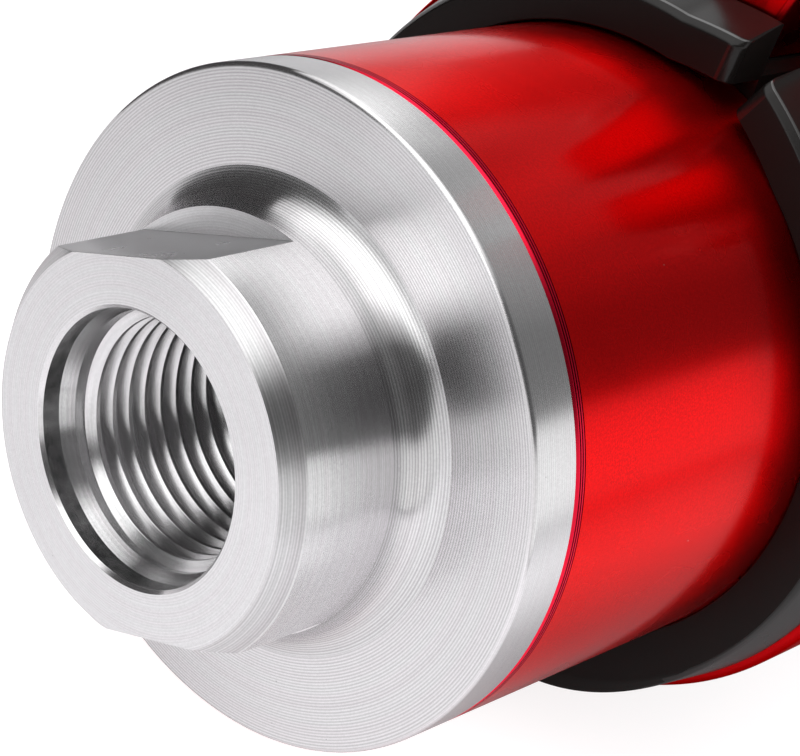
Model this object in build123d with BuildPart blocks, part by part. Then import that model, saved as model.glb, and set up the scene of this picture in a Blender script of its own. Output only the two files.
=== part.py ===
# Inline fuel filter: two screwed end caps on a round tube, a pleated element inside,
# and a split clamp with a rubber sleeve that carries it.
# Lengths are in mm. The filter axis runs along X at axis_height, the inlet faces -X,
# and the clamp stands on Z = 0. The origin is the middle of the footprint.
from build123d import *
from math import cos, hypot, pi, radians, sin
import os

# Overall sizes
filter_length = 144.0
tube_outer_r = 30.0
tube_wall = 3.0

# End cap, outside
neck_r = 18.45
neck_chamfer = 1.6
neck_fillet_r = 3.0
neck_length = 14.8
wrench_size = 32.0
wrench_flat_gap = 3.9
wrench_flat_turn = 42.5
rim_length = 5.2
rim_chamfer = 0.7
rim_edge_break = 0.2

# Threaded port in the neck: mouth, cylindrical seat, cone, thread and drilled end
port_r = 11.11
port_mouth_chamfer = 0.33
port_seat_step = 0.59
port_seat_depth = 1.7
port_cone_length = 1.3
port_depth = 18.5
port_drill_cone = 1.8
passage_r = 8.0

# End cap, inside the tube
spigot_length = 14.0
spigot_clearance = 0.08
spigot_lead = 0.8
seal_groove_depth = 2.2
seal_groove_width = 3.4
seal_groove_offset = 2.0
seal_clearance = 0.05

# Lip and fine grooves at both ends of the tube
tube_lip = 0.35
tube_groove_depth = 0.15
tube_groove_width = 0.3
tube_groove_pitch = 0.7
tube_groove_count = 2

# Filter element
element_side_gap = 4.0
plate_thickness = 4.0
plate_recess = 1.6
plate_rim = 0.5
plate_rim_gap = 0.5
pleat_count = 36
pleat_radial_sheet = 2.2
pleat_core_gap = 0.6
core_side_gap = 2.1
core_wall = 0.9
core_slot_length = 15.0
core_slot_width = 5.0
core_slot_rings = 3
core_slot_columns = 6

# Nipple on the outlet cap that the element pushes onto, and its seal
nipple_wall = 2.6
nipple_length = 9.0
nipple_lead = 0.5
nipple_clearance = 0.08
nipple_groove_depth = 1.2
nipple_groove_width = 2.0

# Spring between the inlet cap and the element, and the cup it stands in
spring_wire = 1.5
spring_turns = 3.0
spring_height = 9.6
spring_pocket_wall = 2.35
spring_pocket_depth = 1.6
spring_pocket_gap = 0.4
cup_sheet = 0.8
cup_depth = 2.4
cup_gap = 0.3
cup_hole_r = 6.0

# Rubber sleeve
sleeve_clearance = 0.05
sleeve_wall = 2.6
sleeve_flange_height = 6.05
sleeve_flange_thickness = 5.5
sleeve_edge_r = 1.7
sleeve_notch_inner = 2.0
sleeve_notch_outer = 4.2
sleeve_high_rise = 2.7
sleeve_high_reach = 30.0
sleeve_low_rise = 1.8
sleeve_low_reach = 18.0

# Split clamp with its ears and foot
clamp_width = 25.4
clamp_side_gap = 0.3
clamp_bore_gap = 0.1
clamp_wall = 4.25
clamp_gap = 5.2
clamp_edge = 0.9
ear_thickness = 9.0
ear_edge_gap = 7.0
ear_blend_r = 4.0
ear_corner_r = 4.0
foot_thickness = 4.0
foot_width = 34.0
foot_blend_r = 5.0
foot_corner_r = 1.5
foot_hole_r = 3.0
foot_hole_depth = 7.0
foot_hole_cone = 1.4
foot_hole_spacing = 20.0

# Clamp screws, washers and nuts
screw_r = 2.5
screw_hole_clearance = 0.25
screw_side_gap = 6.2
screw_lift = 8.0
screw_head_r = 4.25
screw_head_height = 5.0
screw_head_edge = 0.5
screw_socket = 4.0
screw_socket_depth = 2.6
screw_tail = 1.6
screw_tip = 0.6
washer_r = 5.0
washer_thickness = 1.0
nut_across_flats = 8.0
nut_height = 4.7
nut_edge = 0.4
nut_clearance = 0.05

# Places worked out from the sizes above
half_length = filter_length / 2
cap_length = neck_length + rim_length
tube_length = filter_length - 2 * cap_length
tube_inner_r = tube_outer_r - tube_wall
spigot_r = tube_inner_r - spigot_clearance
spigot_end = cap_length + spigot_length
seal_groove_r = spigot_r - seal_groove_depth
seal_middle = cap_length + seal_groove_offset + seal_groove_width / 2
nipple_r = passage_r + nipple_wall
nipple_groove_r = nipple_r - nipple_groove_depth
plate_bore_r = nipple_r + nipple_clearance
plate_r = tube_inner_r - element_side_gap
pleat_outer_r = plate_r - plate_rim - plate_rim_gap
core_outer_r = nipple_r + core_side_gap + core_wall
pleat_inner_r = core_outer_r + pleat_core_gap
sleeve_inner_r = tube_outer_r + sleeve_clearance
sleeve_outer_r = sleeve_inner_r + sleeve_wall
sleeve_flange_r = sleeve_inner_r + sleeve_flange_height
clamp_bore_r = sleeve_outer_r + clamp_bore_gap
clamp_outer_r = clamp_bore_r + clamp_wall
axis_height = clamp_outer_r + foot_thickness
channel_width = clamp_width + 2 * clamp_side_gap
sleeve_length = channel_width + 2 * sleeve_flange_thickness
spring_mean_r = passage_r + spring_pocket_wall + spring_pocket_gap + spring_wire / 2
spring_start = -half_length + spigot_end - spring_pocket_depth
cup_floor = spring_start + spring_height
element_start = cup_floor + cup_sheet
element_end = half_length - spigot_end
ear_outer_y = clamp_gap / 2 + ear_thickness
screw_reach = clamp_outer_r + screw_lift
ear_reach = screw_reach + ear_edge_gap
screw_spacing = clamp_width - 2 * screw_side_gap
screw_length = 2 * ear_outer_y + washer_thickness + nut_height + screw_tail
screw_z = axis_height + screw_reach
screw_seat_y = -ear_outer_y - washer_thickness

# Lathe profiles are drawn with x along the filter axis and y outward from it.
# A cap's profile starts at its port face and runs into the filter.
filter_axis = Axis((0, 0, axis_height), (1, 0, 0))
lathe_plane = Plane(origin=(0, 0, axis_height), x_dir=(1, 0, 0), z_dir=(0, -1, 0))
inlet_plane = Plane(origin=(-half_length, 0, axis_height), x_dir=(1, 0, 0), z_dir=(0, -1, 0))
outlet_plane = Plane(origin=(half_length, 0, axis_height), x_dir=(-1, 0, 0), z_dir=(0, 1, 0))

# Cross sections are drawn across the axis, with x sideways and y up.
section_plane = Plane(origin=(0, 0, axis_height), x_dir=(0, 1, 0), z_dir=(1, 0, 0))

# The wrench flats are turned away from the vertical, as the thread's end left them.
flat_way = (0, sin(radians(wrench_flat_turn)), cos(radians(wrench_flat_turn)))

os.makedirs("parts", exist_ok=True)


def port_points():
    """Port wall from the drilled end out to the mouth, in cap profile coordinates."""
    seat_r = port_r + port_seat_step
    seat_end = port_mouth_chamfer + port_seat_depth
    return [
        (port_depth + port_drill_cone, passage_r),
        (port_depth, port_r),
        (seat_end + port_cone_length, port_r),
        (seat_end, seat_r),
        (port_mouth_chamfer, seat_r),
        (0, seat_r + port_mouth_chamfer),
    ]


def shoulder_points():
    """Neck, flange face, rim and spigot of a cap, from its port face inward."""
    return [
        (0, neck_r - neck_chamfer),
        (neck_chamfer, neck_r),
        (neck_length, neck_r),
        (neck_length, tube_outer_r - rim_chamfer),
        (neck_length + rim_chamfer, tube_outer_r),
        (cap_length - rim_edge_break, tube_outer_r),
        (cap_length, tube_outer_r - rim_edge_break),
        (cap_length, spigot_r),
        (seal_middle - seal_groove_width / 2, spigot_r),
        (seal_middle - seal_groove_width / 2, seal_groove_r),
        (seal_middle + seal_groove_width / 2, seal_groove_r),
        (seal_middle + seal_groove_width / 2, spigot_r),
        (spigot_end - spigot_lead, spigot_r),
        (spigot_end, spigot_r - spigot_lead),
    ]


def draw_wrench_flats():
    """Areas outside the two wrench flats, drawn across the neck."""
    spare = neck_r - wrench_size / 2 + 1
    for way in (-1, 1):
        with Locations((way * (wrench_size + spare) / 2, 0)):
            Rectangle(spare, 2 * neck_r)


# Inlet cap, turned from bar, with a pocket for the spring in its inner face
pocket_inner = spring_mean_r - spring_wire / 2 - spring_pocket_gap
pocket_outer = spring_mean_r + spring_wire / 2 + spring_pocket_gap
pocket_points = [
    (spigot_end, pocket_outer),
    (spigot_end - spring_pocket_depth, pocket_outer),
    (spigot_end - spring_pocket_depth, pocket_inner),
    (spigot_end, pocket_inner),
    (spigot_end, passage_r),
]
with BuildPart() as inlet_cap:
    with BuildSketch(inlet_plane) as inlet_profile:
        with BuildLine():
            Polyline(*shoulder_points(), *pocket_points, *port_points(), close=True)
        make_face()
        neck_corner = inlet_profile.vertices().sort_by_distance((neck_length, neck_r))[0]
        fillet(neck_corner, radius=neck_fillet_r)
    revolve(axis=filter_axis)
    with BuildSketch(Plane(origin=(-half_length, 0, axis_height), x_dir=flat_way, z_dir=(1, 0, 0))):
        draw_wrench_flats()
    extrude(amount=neck_length - wrench_flat_gap, mode=Mode.SUBTRACT)
inlet_cap.part.label = "inlet_cap"
export_step(inlet_cap.part, "parts/inlet_cap.step")

# Outlet cap, the same outside, with a nipple for the element instead of the pocket
nipple_end = spigot_end + nipple_length
nipple_middle = spigot_end + plate_thickness / 2
nipple_points = [
    (spigot_end, nipple_r),
    (nipple_middle - nipple_groove_width / 2, nipple_r),
    (nipple_middle - nipple_groove_width / 2, nipple_groove_r),
    (nipple_middle + nipple_groove_width / 2, nipple_groove_r),
    (nipple_middle + nipple_groove_width / 2, nipple_r),
    (nipple_end - nipple_lead, nipple_r),
    (nipple_end, nipple_r - nipple_lead),
    (nipple_end, passage_r),
]
with BuildPart() as outlet_cap:
    with BuildSketch(outlet_plane) as outlet_profile:
        with BuildLine():
            Polyline(*shoulder_points(), *nipple_points, *port_points(), close=True)
        make_face()
        neck_corner = outlet_profile.vertices().sort_by_distance((neck_length, neck_r))[0]
        fillet(neck_corner, radius=neck_fillet_r)
    revolve(axis=filter_axis)
    with BuildSketch(Plane(origin=(half_length, 0, axis_height), x_dir=flat_way, z_dir=(-1, 0, 0))):
        draw_wrench_flats()
    extrude(amount=neck_length - wrench_flat_gap, mode=Mode.SUBTRACT)
outlet_cap.part.label = "outlet_cap"
export_step(outlet_cap.part, "parts/outlet_cap.step")

# Tube, with a small lip and fine grooves at each end
with BuildPart() as body_tube:
    with BuildSketch(lathe_plane):
        with Locations((0, (tube_outer_r + tube_inner_r) / 2)):
            Rectangle(tube_length, tube_wall)
        for end in (-1, 1):
            for groove in range(tube_groove_count):
                groove_x = tube_length / 2 - tube_groove_pitch * (groove + 1)
                with Locations((end * groove_x, tube_outer_r)):
                    Rectangle(tube_groove_width, 2 * tube_groove_depth, mode=Mode.SUBTRACT)
    revolve(axis=filter_axis)
    outer_rims = body_tube.edges().filter_by(GeomType.CIRCLE).group_by(Axis.X)
    for rim in (outer_rims[0], outer_rims[-1]):
        chamfer(rim.sort_by(SortBy.RADIUS)[-1], length=tube_lip)
body_tube.part.label = "body_tube"
export_step(body_tube.part, "parts/body_tube.step")

# Cap seals, round rings that fill the height between groove and tube
seal_height = tube_inner_r - seal_groove_r - 2 * seal_clearance
seal_place = (seal_middle, seal_groove_r + seal_clearance + seal_height / 2)
for seal_name, seal_plane in (("inlet_cap_seal", inlet_plane), ("outlet_cap_seal", outlet_plane)):
    with BuildPart() as cap_seal:
        with BuildSketch(seal_plane):
            with Locations(seal_place):
                Circle(seal_height / 2)
        revolve(axis=filter_axis)
    cap_seal.part.label = seal_name
    export_step(cap_seal.part, f"parts/{seal_name}.step")

# Element end plates: a cupped disc at each end, the closed one towards the inlet
plate_floor = plate_thickness - plate_recess
closed_points = [
    (0, 0),
    (0, plate_r),
    (plate_thickness, plate_r),
    (plate_thickness, plate_r - plate_rim),
    (plate_floor, plate_r - plate_rim),
    (plate_floor, 0),
]
closed_plane = Plane(origin=(element_start, 0, axis_height), x_dir=(1, 0, 0), z_dir=(0, -1, 0))
with BuildPart() as closed_plate:
    with BuildSketch(closed_plane):
        with BuildLine():
            Polyline(*closed_points, close=True)
        make_face()
    revolve(axis=filter_axis)
closed_plate.part.label = "element_closed_plate"
export_step(closed_plate.part, "parts/element_closed_plate.step")

open_points = [
    (0, plate_bore_r),
    (0, plate_r),
    (plate_thickness, plate_r),
    (plate_thickness, plate_r - plate_rim),
    (plate_floor, plate_r - plate_rim),
    (plate_floor, plate_bore_r),
]
open_plane = Plane(origin=(element_end, 0, axis_height), x_dir=(-1, 0, 0), z_dir=(0, 1, 0))
with BuildPart() as open_plate:
    with BuildSketch(open_plane):
        with BuildLine():
            Polyline(*open_points, close=True)
        make_face()
    revolve(axis=filter_axis)
open_plate.part.label = "element_open_plate"
export_step(open_plate.part, "parts/element_open_plate.step")

# Pleated mesh, folded into a star between the two plates
media_start = element_start + plate_floor
media_length = element_end - plate_floor - media_start
fold_turn = 2 * pi / pleat_count


def fold_points(peak_r, valley_r):
    """Closed zigzag of the folds, peak and valley in turn."""
    points = []
    for fold in range(pleat_count):
        peak_turn = fold * fold_turn
        valley_turn = peak_turn + fold_turn / 2
        points.append((peak_r * cos(peak_turn), peak_r * sin(peak_turn)))
        points.append((valley_r * cos(valley_turn), valley_r * sin(valley_turn)))
    return points


media_plane = Plane(origin=(media_start, 0, axis_height), x_dir=(0, 1, 0), z_dir=(1, 0, 0))
with BuildPart() as element_pleats:
    with BuildSketch(media_plane):
        with BuildLine():
            Polyline(*fold_points(pleat_outer_r, pleat_inner_r + pleat_radial_sheet), close=True)
        make_face()
        with BuildLine():
            Polyline(*fold_points(pleat_outer_r - pleat_radial_sheet, pleat_inner_r), close=True)
        make_face(mode=Mode.SUBTRACT)
    extrude(amount=media_length)
element_pleats.part.label = "element_pleats"
export_step(element_pleats.part, "parts/element_pleats.step")

# Perforated core that the pleats stand on
slot_pitch = media_length / core_slot_rings
with BuildPart() as element_core:
    with BuildSketch(media_plane):
        Circle(core_outer_r)
        Circle(core_outer_r - core_wall, mode=Mode.SUBTRACT)
    extrude(amount=media_length)
    for column in range(core_slot_columns // 2):
        column_turn = column * 2 * pi / core_slot_columns
        column_way = (0, sin(column_turn), cos(column_turn))
        with BuildSketch(Plane(origin=(media_start, 0, axis_height), x_dir=(1, 0, 0), z_dir=column_way)):
            for ring in range(core_slot_rings):
                with Locations(((ring + 0.5) * slot_pitch, 0)):
                    SlotOverall(core_slot_length, core_slot_width)
        extrude(amount=core_outer_r + core_wall, both=True, mode=Mode.SUBTRACT)
element_core.part.label = "element_core"
export_step(element_core.part, "parts/element_core.step")

# Seal between the nipple and the open plate
nipple_seal_height = plate_bore_r - nipple_groove_r - 2 * seal_clearance
nipple_seal_place = (nipple_middle, nipple_groove_r + seal_clearance + nipple_seal_height / 2)
with BuildPart() as element_seal:
    with BuildSketch(outlet_plane):
        with Locations(nipple_seal_place):
            Circle(nipple_seal_height / 2)
    revolve(axis=filter_axis)
element_seal.part.label = "element_seal"
export_step(element_seal.part, "parts/element_seal.step")

# Square wire spring that holds the element on its nipple
coil_height = spring_height - spring_wire
with BuildPart() as element_spring:
    with BuildLine():
        coil = Helix(
            pitch=coil_height / spring_turns,
            height=coil_height,
            radius=spring_mean_r,
            center=(spring_start + spring_wire / 2, 0, axis_height),
            direction=(1, 0, 0),
        )
    with BuildSketch(Plane(origin=coil @ 0, x_dir=(1, 0, 0), z_dir=coil % 0)):
        Rectangle(spring_wire, spring_wire)
    sweep(is_frenet=True)
element_spring.part.label = "element_spring"
export_step(element_spring.part, "parts/element_spring.step")

# Pressed cup between the spring and the closed plate
cup_outer_r = spring_mean_r + spring_wire / 2 + cup_gap + cup_sheet
cup_points = [
    (element_start, cup_hole_r),
    (element_start, cup_outer_r),
    (element_start - cup_depth, cup_outer_r),
    (element_start - cup_depth, cup_outer_r - cup_sheet),
    (cup_floor, cup_outer_r - cup_sheet),
    (cup_floor, cup_hole_r),
]
with BuildPart() as spring_cup:
    with BuildSketch(lathe_plane):
        with BuildLine():
            Polyline(*cup_points, close=True)
        make_face()
    revolve(axis=filter_axis)
spring_cup.part.label = "spring_cup"
export_step(spring_cup.part, "parts/spring_cup.step")

# Rubber sleeve: a channel with a thick flange each side, split by a notch at the top.
# The clamp squeezes the notch, so the flanges' ends rise off the tube beside it.
flange_start = channel_width / 2
notch_slope = (sleeve_notch_outer - sleeve_notch_inner) / 2 / (sleeve_flange_r - sleeve_inner_r)
notch_top = sleeve_flange_r + sleeve_high_rise + 1
notch_top_half = sleeve_notch_inner / 2 + notch_slope * (notch_top - sleeve_inner_r)
notch_low = sleeve_inner_r - 1
notch_low_half = sleeve_notch_inner / 2 - notch_slope


def draw_flange_line(radius):
    """A circle whose two ends rise from it in wider arcs, up to the notch."""
    high = radians(sleeve_high_reach)
    low = radians(sleeve_low_reach)
    high_start = (radius * sin(high), radius * cos(high))
    low_start = (-radius * sin(low), radius * cos(low))
    high_tip = (0, radius + sleeve_high_rise)
    low_tip = (0, radius + sleeve_low_rise)
    ThreePointArc(high_start, (0, -radius), low_start)
    TangentArc(low_start, low_tip, tangent=(cos(low), sin(low)))
    Line(low_tip, high_tip)
    TangentArc(high_start, high_tip, tangent=(-cos(high), sin(high)))


def edge_distance(edge):
    """Distance from the filter axis to the middle of an edge."""
    middle = edge @ 0.5
    return hypot(middle.Y, middle.Z - axis_height)


with BuildPart() as mount_sleeve:
    with BuildSketch(section_plane):
        Circle(sleeve_outer_r)
        Circle(sleeve_inner_r, mode=Mode.SUBTRACT)
    extrude(amount=flange_start, both=True)
    for end in (-1, 1):
        with BuildSketch(section_plane.offset(end * flange_start)):
            with BuildLine():
                draw_flange_line(sleeve_flange_r)
            make_face()
            with BuildLine():
                draw_flange_line(sleeve_inner_r)
            make_face(mode=Mode.SUBTRACT)
        extrude(amount=end * sleeve_flange_thickness)
    with BuildSketch(section_plane):
        with BuildLine():
            Polyline(
                (-notch_low_half, notch_low),
                (notch_low_half, notch_low),
                (notch_top_half, notch_top),
                (-notch_top_half, notch_top),
                close=True,
            )
        make_face()
    extrude(amount=sleeve_length, both=True, mode=Mode.SUBTRACT)
    end_edges = mount_sleeve.faces().filter_by(Axis.X).edges().filter_by(GeomType.CIRCLE)
    flange_middle_r = (sleeve_outer_r + sleeve_flange_r) / 2
    for end_group in (end_edges.group_by(Axis.X)[0], end_edges.group_by(Axis.X)[-1]):
        fillet(end_group.filter_by(lambda edge: edge_distance(edge) > flange_middle_r), sleeve_edge_r)
mount_sleeve.part.label = "mount_sleeve"
export_step(mount_sleeve.part, "parts/mount_sleeve.step")

# Clamp, milled from one billet: ring, two ears at the gap and a foot below
with BuildPart() as clamp:
    with BuildSketch(section_plane) as clamp_outline:
        Circle(clamp_outer_r)
        with Locations((0, ear_reach / 2)):
            Rectangle(2 * ear_outer_y, ear_reach)
        with Locations((0, -axis_height / 2)):
            Rectangle(foot_width, axis_height)
        ear_roots = clamp_outline.vertices().filter_by_position(Axis.Y, 1, ear_reach - 1)
        fillet(ear_roots, radius=ear_blend_r)
        foot_roots = clamp_outline.vertices().filter_by_position(Axis.Y, 1 - axis_height, -1)
        fillet(foot_roots, radius=foot_blend_r)
        fillet(clamp_outline.vertices().group_by(Axis.Y)[-1], radius=ear_corner_r)
        fillet(clamp_outline.vertices().group_by(Axis.Y)[0], radius=foot_corner_r)
    extrude(amount=clamp_width / 2, both=True)
    chamfer(clamp.faces().filter_by(Axis.X).edges(), length=clamp_edge)
    with BuildSketch(section_plane):
        Circle(clamp_bore_r)
        with Locations((0, ear_reach)):
            Rectangle(clamp_gap, 2 * ear_reach)
    extrude(amount=clamp_width, both=True, mode=Mode.SUBTRACT)
    with BuildSketch(Plane(origin=(0, 0, screw_z), x_dir=(1, 0, 0), z_dir=(0, -1, 0))):
        with GridLocations(screw_spacing, 1, 2, 1):
            Circle(screw_r + screw_hole_clearance)
    extrude(amount=ear_reach, both=True, mode=Mode.SUBTRACT)
    with Locations(Plane.XY):
        with GridLocations(1, foot_hole_spacing, 1, 2):
            Cylinder(
                foot_hole_r,
                foot_hole_depth,
                align=(Align.CENTER, Align.CENTER, Align.MIN),
                mode=Mode.SUBTRACT,
            )
    with Locations(Plane.XY.offset(foot_hole_depth)):
        with GridLocations(1, foot_hole_spacing, 1, 2):
            Cone(
                foot_hole_r,
                0,
                foot_hole_cone,
                align=(Align.CENTER, Align.CENTER, Align.MIN),
                mode=Mode.SUBTRACT,
            )
clamp.part.label = "clamp"
export_step(clamp.part, "parts/clamp.step")

# Clamp screws with their washers and nuts, one set towards each end of the filter
fastener_sides = (("inlet_side", -screw_spacing / 2), ("outlet_side", screw_spacing / 2))
for side_name, screw_x in fastener_sides:
    seat_plane = Plane(origin=(screw_x, screw_seat_y, screw_z), x_dir=(1, 0, 0), z_dir=(0, 1, 0))
    with BuildPart() as clamp_screw:
        with BuildSketch(seat_plane):
            Circle(screw_r)
        extrude(amount=screw_length)
        chamfer(clamp_screw.faces().sort_by(Axis.Y)[-1].edges(), length=screw_tip)
        with BuildSketch(seat_plane):
            Circle(screw_head_r)
        extrude(amount=-screw_head_height)
        chamfer(clamp_screw.faces().sort_by(Axis.Y)[0].edges(), length=screw_head_edge)
        with BuildSketch(seat_plane.offset(-screw_head_height)):
            RegularPolygon(screw_socket / 2, 6, major_radius=False)
        extrude(amount=screw_socket_depth, mode=Mode.SUBTRACT)
    clamp_screw.part.label = f"clamp_screw_{side_name}"
    export_step(clamp_screw.part, f"parts/clamp_screw_{side_name}.step")

    with BuildPart() as clamp_washer:
        with BuildSketch(seat_plane):
            Circle(washer_r)
            Circle(screw_r + screw_hole_clearance, mode=Mode.SUBTRACT)
        extrude(amount=washer_thickness)
    clamp_washer.part.label = f"clamp_washer_{side_name}"
    export_step(clamp_washer.part, f"parts/clamp_washer_{side_name}.step")

    nut_plane = Plane(origin=(screw_x, ear_outer_y, screw_z), x_dir=(1, 0, 0), z_dir=(0, 1, 0))
    with BuildPart() as clamp_nut:
        with BuildSketch(nut_plane):
            RegularPolygon(nut_across_flats / 2, 6, major_radius=False)
            Circle(screw_r + nut_clearance, mode=Mode.SUBTRACT)
        extrude(amount=nut_height)
        nut_rim = clamp_nut.faces().sort_by(Axis.Y)[-1].edges().filter_by(GeomType.LINE)
        chamfer(nut_rim, length=nut_edge)
    clamp_nut.part.label = f"clamp_nut_{side_name}"
    export_step(clamp_nut.part, f"parts/clamp_nut_{side_name}.step")
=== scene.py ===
from math import asin, atan2, cos, degrees, exp, hypot, pi, radians, sin, sqrt

import bmesh
import bpy
from mathutils import Euler, Matrix, Vector


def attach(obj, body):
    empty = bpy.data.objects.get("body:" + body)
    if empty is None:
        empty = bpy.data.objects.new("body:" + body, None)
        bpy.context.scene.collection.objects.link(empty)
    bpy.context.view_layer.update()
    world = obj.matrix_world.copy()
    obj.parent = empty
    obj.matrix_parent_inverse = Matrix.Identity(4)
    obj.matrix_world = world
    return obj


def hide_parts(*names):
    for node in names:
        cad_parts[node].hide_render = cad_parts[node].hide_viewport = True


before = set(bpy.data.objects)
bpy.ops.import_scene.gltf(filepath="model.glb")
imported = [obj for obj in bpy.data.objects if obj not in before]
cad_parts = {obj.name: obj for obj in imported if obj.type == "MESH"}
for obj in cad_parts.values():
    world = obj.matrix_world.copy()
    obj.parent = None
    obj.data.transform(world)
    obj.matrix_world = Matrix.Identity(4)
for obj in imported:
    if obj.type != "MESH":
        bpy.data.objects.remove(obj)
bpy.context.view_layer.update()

mm = 0.001
axisHeight = 41 * mm          # the filter axis runs along X at this height
halfLength = 72 * mm
centreLine = Vector((0, 0, axisHeight))
weldGap = 1e-7                # vertices closer than this are one, in m
sameSpot = 1e-6               # how closely a place in a mesh is looked for, in m


# Mesh helpers

def turnProfile(points, steps, closed=True):
    # spins a profile of (x, radius) pairs about the filter axis, all in mm
    bm = bmesh.new()
    line = [bm.verts.new((x * mm, 0, axisHeight + radius * mm)) for x, radius in points]
    following = line[1:] + line[:1] if closed else line[1:]
    edges = [bm.edges.new(pair) for pair in zip(line, following)]
    bmesh.ops.spin(bm, geom=line + edges, cent=centreLine, axis=(1, 0, 0), angle=2 * pi,
                   steps=steps, use_merge=True)
    bmesh.ops.remove_doubles(bm, verts=bm.verts, dist=weldGap)
    return bm


def radiusOf(point):
    return hypot(point.y, point.z - axisHeight)


def roundRing(bm, x, radius, width, segments):
    # rounds the ring edge at one place of a turned shape
    def onRing(vert):
        return abs(vert.co.x - x * mm) < sameSpot and abs(radiusOf(vert.co) - radius * mm) < sameSpot
    edges = [edge for edge in bm.edges if onRing(edge.verts[0]) and onRing(edge.verts[1])]
    bmesh.ops.bevel(bm, geom=edges, offset=width * mm, offset_type="OFFSET", affect="EDGES",
                    segments=segments, profile=0.5, material=-1, clamp_overlap=True)


def cutAlong(bm, faces, point, way):
    # cuts the given faces along a plane and leaves both sides standing
    geom = list({vert for face in faces for vert in face.verts})
    geom += list({edge for face in faces for edge in face.edges}) + faces
    bmesh.ops.bisect_plane(bm, geom=geom, dist=weldGap / 10, plane_co=point, plane_no=way)


def vertsIn(geom):
    return [item for item in geom if isinstance(item, bmesh.types.BMVert)]


def extrudeRing(bm, ring, way):
    # extrudes a ring of edges by a vector and gives the edges at its far end
    geom = bmesh.ops.extrude_edge_only(bm, edges=ring)["geom"]
    far = vertsIn(geom)
    bmesh.ops.translate(bm, vec=way, verts=far)
    return [item for item in geom if isinstance(item, bmesh.types.BMEdge)
            and all(vert in far for vert in item.verts)]


def openEnds(bm):
    return [edge for edge in bm.edges if edge.is_boundary]


def finishPiece(name, bm, materials, body, sharpAngle=18, edgeWidth=0.0, edgeSegments=2):
    bmesh.ops.remove_doubles(bm, verts=bm.verts, dist=weldGap)
    bmesh.ops.recalc_face_normals(bm, faces=bm.faces)
    for edge in bm.edges:
        edge.smooth = edge.calc_face_angle(0) < radians(sharpAngle)
    for face in bm.faces:
        face.smooth = True
    mesh = bpy.data.meshes.new(name)
    bm.to_mesh(mesh)
    bm.free()
    for material in materials:
        mesh.materials.append(material)
    piece = bpy.data.objects.new(name, mesh)
    bpy.context.scene.collection.objects.link(piece)
    if edgeWidth:
        bevel = piece.modifiers.new("edgeBevel", "BEVEL")
        bevel.width = edgeWidth * mm
        bevel.segments = edgeSegments
        bevel.limit_method = "ANGLE"
        bevel.angle_limit = radians(sharpAngle)
        bevel.harden_normals = True
    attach(piece, body)
    return piece


# Materials

class NodeTree:
    # a node tree with short calls for what the finishes, the floor and the world need
    def __init__(self, tree):
        self.tree = tree

    def add(self, kind, **values):
        node = self.tree.nodes.new(kind)
        for key, value in values.items():
            setattr(node, key, value)
        return node

    def link(self, source, target):
        self.tree.links.new(source, target)

    def feed(self, value, socket):
        # a number or a colour is set on the socket, and another node's output is linked to it
        if isinstance(value, (int, float, tuple)):
            socket.default_value = value
        else:
            self.link(value, socket)

    def math(self, operation, *values):
        node = self.add("ShaderNodeMath", operation=operation)
        for value, socket in zip(values, node.inputs):
            self.feed(value, socket)
        return node.outputs[0]

    def combine(self, x=0.0, y=0.0, z=0.0):
        node = self.add("ShaderNodeCombineXYZ")
        for value, socket in zip((x, y, z), node.inputs):
            self.feed(value, socket)
        return node.outputs[0]

    def parts(self, vector):
        node = self.add("ShaderNodeSeparateXYZ")
        self.link(vector, node.inputs[0])
        return node.outputs

    def spread(self, value, low, high, fromLow=0.0, fromHigh=1.0, kind="LINEAR"):
        node = self.add("ShaderNodeMapRange", interpolation_type=kind)
        for socket, number in zip(("From Min", "From Max", "To Min", "To Max"),
                                  (fromLow, fromHigh, low, high)):
            node.inputs[socket].default_value = number
        self.link(value, node.inputs["Value"])
        return node.outputs["Result"]

    def mix(self, factor, first, second, blend="MIX"):
        node = self.add("ShaderNodeMix", data_type="RGBA", blend_type=blend)
        for index, value in ((0, factor), (6, first), (7, second)):
            self.feed(value, node.inputs[index])
        return node.outputs[2]


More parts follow.
